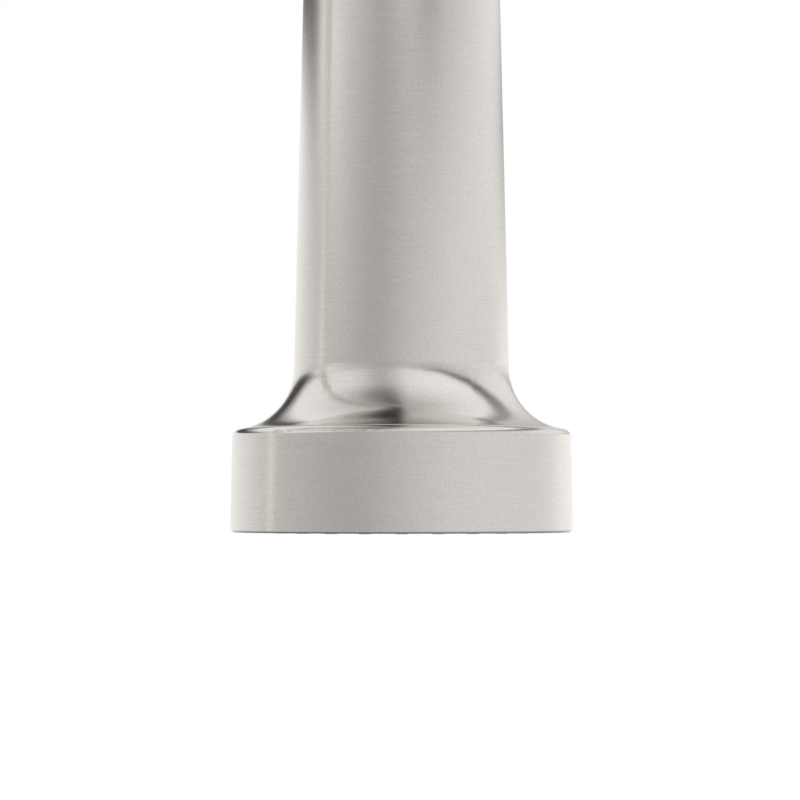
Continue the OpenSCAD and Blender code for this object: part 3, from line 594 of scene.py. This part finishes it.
def threaded_tube(name, crest, bore, low, high, plain_above, pitch):
    """An upright tube with a real helical thread outside, plain above plain_above."""
    form = bmesh.new()
    centre = (0, 0)
    sides = 96
    depth = 0.55 * pitch
    row_step = pitch / 6
    levels = [low + row_step * index for index in range(int((plain_above - low) / row_step) + 1)]
    rows = []
    for z in levels:
        cut = min(1.0, max(0.0, min(z - low, plain_above - z) / pitch))

        def thread_radius(turned, z=z, cut=cut):
            phase = (z / pitch - turned / (2 * math.pi)) % 1.0
            return crest - depth * abs(2 * phase - 1) * cut

        rows.append(circle_row(centre, thread_radius, sides, z))
    for radius, z in ((crest, plain_above), (crest, high), (bore, high), (bore, low)):
        rows.append(circle_row(centre, lambda turned, radius=radius: radius, sides, z))
    sweep_rows(form, rows)
    return link_piece(name, form, 50.0)


shank_low, shank_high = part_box("shank")
shank_crest = (shank_high.x - shank_low.x) / 2
shank_wall = 0.002
shank_pitch = 0.0015
shank_plain_z = -0.003
shank_thread = threaded_tube(
    "shank_thread",
    shank_crest,
    shank_crest - shank_wall,
    shank_low.z,
    shank_high.z,
    shank_plain_z,
    shank_pitch,
)
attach(shank_thread, "root")
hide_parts("shank")
dress(["shank_thread"], brass)
dress(["mounting_nut", "inlet_nipples", "outlet_stem", "hose_end"], brass)
dress(["valve_body", "bonnet_nut"], brass)
dress(["swivel_nipple", "connector_nut"], brass)
dress(["supply_tubes", "outlet_tube"], copper)
dress(["steel_washer", "clamp_screws", "spout_screw", "stem_pin", "stem"], bright_steel)
dress(["handle_screw", "hose_crimp", "aerator_screen", "rocker_pin"], bright_steel)

# --- Valve cartridge ------------------------------------------------------------------------
# Two lapped ceramic discs in a plastic housing mix and stop the water.  The orange carrier turns
# with the lever's stem and the driver slides the moving disc.
ceramic, tree, shader = new_material("ceramic")
speckle = place_group(tree, moulded_grain, Size=0.0002, Bloom=0.03)
tree.links.new(shaded(tree, (0.83, 0.84, 0.84), speckle["Shade"]), shader.inputs["Base Color"])
ceramic_roughness = calculate(tree, "MULTIPLY_ADD", speckle["Roughness"], 0.1, 0.14)
tree.links.new(ceramic_roughness, shader.inputs["Roughness"])
shader.inputs["Coat Weight"].default_value = 0.3
dress(["fixed_disc", "moving_disc"], ceramic)
dress(["cartridge_housing", "upper_bush", "lower_bush"], white_plastic)
dress(["stem_carrier", "disc_driver"], orange_plastic)

# --- Handle ---------------------------------------------------------------------------------
# A turned hub on the valve's stem carries a slim round lever, flared towards its tip.  A set
# screw under a dark cap holds the hub.
dress(["handle_hub"], handle_steel)
lever_low, lever_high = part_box("handle_lever")
lever_x = (lever_low.x + lever_high.x) / 2
lever_steel = satin_steel("lever_steel", (lever_x, 0, 0))
dress(["handle_lever"], lever_steel)
dress(["screw_cap"], dark_plastic)

# --- Spout ----------------------------------------------------------------------------------
# The gooseneck is one bent steel tube on a spigot that turns in two bushes in the column.  It is
# brushed along its length, so its marks follow the bend.
pipe_low, pipe_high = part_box("spout_tube")
pipe_r = (pipe_high.x - pipe_low.x) / 2
bend_y = head_y / 2
bend_r = -head_y / 2
bend_z = pipe_high.z - pipe_r - bend_r
pipe_steel, tree, shader = new_material("pipe_steel", 1.0)
surface = add_node(tree, "ShaderNodeTexCoord").outputs["Object"]
pipe_parts = add_node(tree, "ShaderNodeSeparateXYZ")
tree.links.new(surface, pipe_parts.inputs[0])
from_bend_y = calculate(tree, "SUBTRACT", pipe_parts.outputs[1], bend_y)
from_bend_z = calculate(tree, "SUBTRACT", pipe_parts.outputs[2], bend_z)
from_bend_z = calculate(tree, "MAXIMUM", from_bend_z, 0.0)
square_y = calculate(tree, "MULTIPLY", from_bend_y, from_bend_y)
square_across = calculate(tree, "MULTIPLY_ADD", from_bend_z, from_bend_z, square_y)
across_bend = calculate(tree, "SQRT", square_across)
along_bend = calculate(tree, "ARCTAN2", from_bend_z, from_bend_y)
marks_across = 4200.0
marks_upright = 60.0
marks_round_bend = 12.0
upright = calculate(tree, "MULTIPLY", pipe_parts.outputs[2], marks_upright)
long_place = join_xyz(
    tree,
    calculate(tree, "MULTIPLY", pipe_parts.outputs[0], marks_across),
    calculate(tree, "MULTIPLY", across_bend, marks_across),
    calculate(tree, "MULTIPLY_ADD", along_bend, marks_round_bend, upright),
)
long_marks = calculate(tree, "SUBTRACT", noise(tree, long_place, 1.0, 3.0), 0.5)
marks = place_group(tree, brush_marks, Strength=0.0)
pipe_shade = calculate(tree, "MULTIPLY_ADD", long_marks, 0.05, marks["Shade"])
tree.links.new(shaded(tree, steel_colour, pipe_shade), shader.inputs["Base Color"])
pipe_roughness = calculate(tree, "MULTIPLY_ADD", long_marks, 0.10, marks["Roughness"])
tree.links.new(pipe_roughness, shader.inputs["Roughness"])
bump(tree, shader, long_marks, brush_depth, 0.5)
dress(["spout_tube"], pipe_steel)
dress(["spout_spigot"], column_steel)
dress(["thrust_washer"], dark_plastic)

# --- Dock -----------------------------------------------------------------------------------
# A steel collar closes the spout's end.  A magnet ring inside holds the head, and a plastic
# guide keeps the hose off the edge.
head_steel = satin_steel("head_steel", (0, head_y, 0))
dress(["dock_collar"], head_steel)
dress(["dock_guide"], dark_plastic)
magnet = machined("magnet", (0.42, 0.42, 0.43), 0.3, 0.12)
dress(["dock_magnet", "head_magnet"], magnet)

# --- Hose -----------------------------------------------------------------------------------
# A water hose in a grey nylon braid runs from the valve's outlet, up the column and round the
# bend, and ends in a crimped sleeve on the head's nipple.
braid, braid_in, braid_out = new_group(
    "braid",
    [
        ("Centre", "NodeSocketVector", (0, 0, 0)),
        ("Strands", "NodeSocketFloat", 12.0),
        ("Lay", "NodeSocketFloat", 0.0085),
    ],
    [("Shade", "NodeSocketFloat"), ("Height", "NodeSocketFloat")],
)
surface = add_node(braid, "ShaderNodeTexCoord").outputs["Object"]
angle, along, _ = round_coordinates(braid, surface, braid_in.outputs["Centre"], (0, 0, 0))
turns = calculate(braid, "MULTIPLY", angle, braid_in.outputs["Strands"])
climb = calculate(braid, "MULTIPLY", along, 2 * math.pi)
climb = calculate(braid, "DIVIDE", climb, braid_in.outputs["Lay"])
climb = calculate(braid, "MULTIPLY", climb, 2.0)
left_hand = calculate(braid, "SINE", calculate(braid, "ADD", turns, climb))
right_hand = calculate(braid, "SINE", calculate(braid, "SUBTRACT", turns, climb))
over_under = calculate(braid, "MULTIPLY", left_hand, right_hand)
left_size = calculate(braid, "ABSOLUTE", left_hand)
right_size = calculate(braid, "ABSOLUTE", right_hand)
strand = calculate(braid, "MAXIMUM", left_size, right_size)
fuzz = calculate(braid, "SUBTRACT", noise(braid, surface, 6000.0, 2.0), 0.5)
weave_height = calculate(braid, "MULTIPLY_ADD", over_under, 0.4, strand)
# The colour is darker where the weave lies low between strands: painted shade in the weave's hollows,
# with a random fuzz in the nylon's tone on top.
braid_fuzz_and_painted_shade = calculate(braid, "MULTIPLY_ADD", weave_height, 0.45, 0.55)
braid_fuzz_and_painted_shade = calculate(braid, "MULTIPLY_ADD", fuzz, 0.35, braid_fuzz_and_painted_shade)
braid.links.new(braid_fuzz_and_painted_shade, braid_out.inputs["Shade"])
braid.links.new(weave_height, braid_out.inputs["Height"])


def hose_braid(name, centre):
    material, tree, shader = new_material(name)
    weave = place_group(tree, braid, Centre=centre)
    # The braid's colour carries painted shade in the low places of its weave.
    tree.links.new(shaded(tree, (0.30, 0.31, 0.32), weave["Shade"]), shader.inputs["Base Color"])
    shader.inputs["Roughness"].default_value = 0.55
    shader.inputs["Sheen Weight"].default_value = 0.2
    bump(tree, shader, weave["Height"], 0.0002, 0.8)
    return material


hose_end_low, hose_end_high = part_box("hose_end")
hose_x = (hose_end_low.x + hose_end_high.x) / 2
head_braid = hose_braid("head_braid", (0, head_y, 0))
column_braid = hose_braid("column_braid", (hose_x, 0, 0))
dress(["hose_lower"], column_braid)
dress(["hose_upper"], head_braid)
drop_low, drop_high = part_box("hose_drop")
drop_r = (drop_high.x - drop_low.x) / 2
drop_bore = 0.0042
drop_rows = 60
drop_sides = 64
form = bmesh.new()
levels = [drop_low.z + (drop_high.z - drop_low.z) * index / drop_rows for index in range(drop_rows + 1)]
skin = [circle_row((0, head_y), lambda turned: drop_r, drop_sides, z) for z in levels]
skin += [circle_row((0, head_y), lambda turned: drop_bore, drop_sides, z) for z in reversed(levels)]
sweep_rows(form, skin)
drop_hose = link_piece("drop_hose", form)
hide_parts("hose_drop")
dress(["drop_hose"], head_braid)
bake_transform(drop_hose)

# --- Spray head -----------------------------------------------------------------------------
# The shell is one turned steel piece: a disc, a deep hollow curve and a barrel that narrows to
# the dock.  A darker spray plate with a thin flange closes it, and soft nozzles stand in its
# rings of holes.
dress(["head_shell"], head_steel)
plate_steel = satin_steel("plate_steel", (0, head_y, 0), colour=(0.30, 0.295, 0.285))
dress(["spray_plate"], plate_steel)
grey_silicone = moulded("grey_silicone", (0.20, 0.20, 0.21), 0.55, 0.0003, 0.2)
dress(["nozzle_mat"], grey_silicone)
dress(["aerator_housing", "check_valve", "diverter_plunger"], white_plastic)
dress(["check_poppet"], blue_plastic)
dress(["spray_engine", "rocker_button"], dark_plastic)
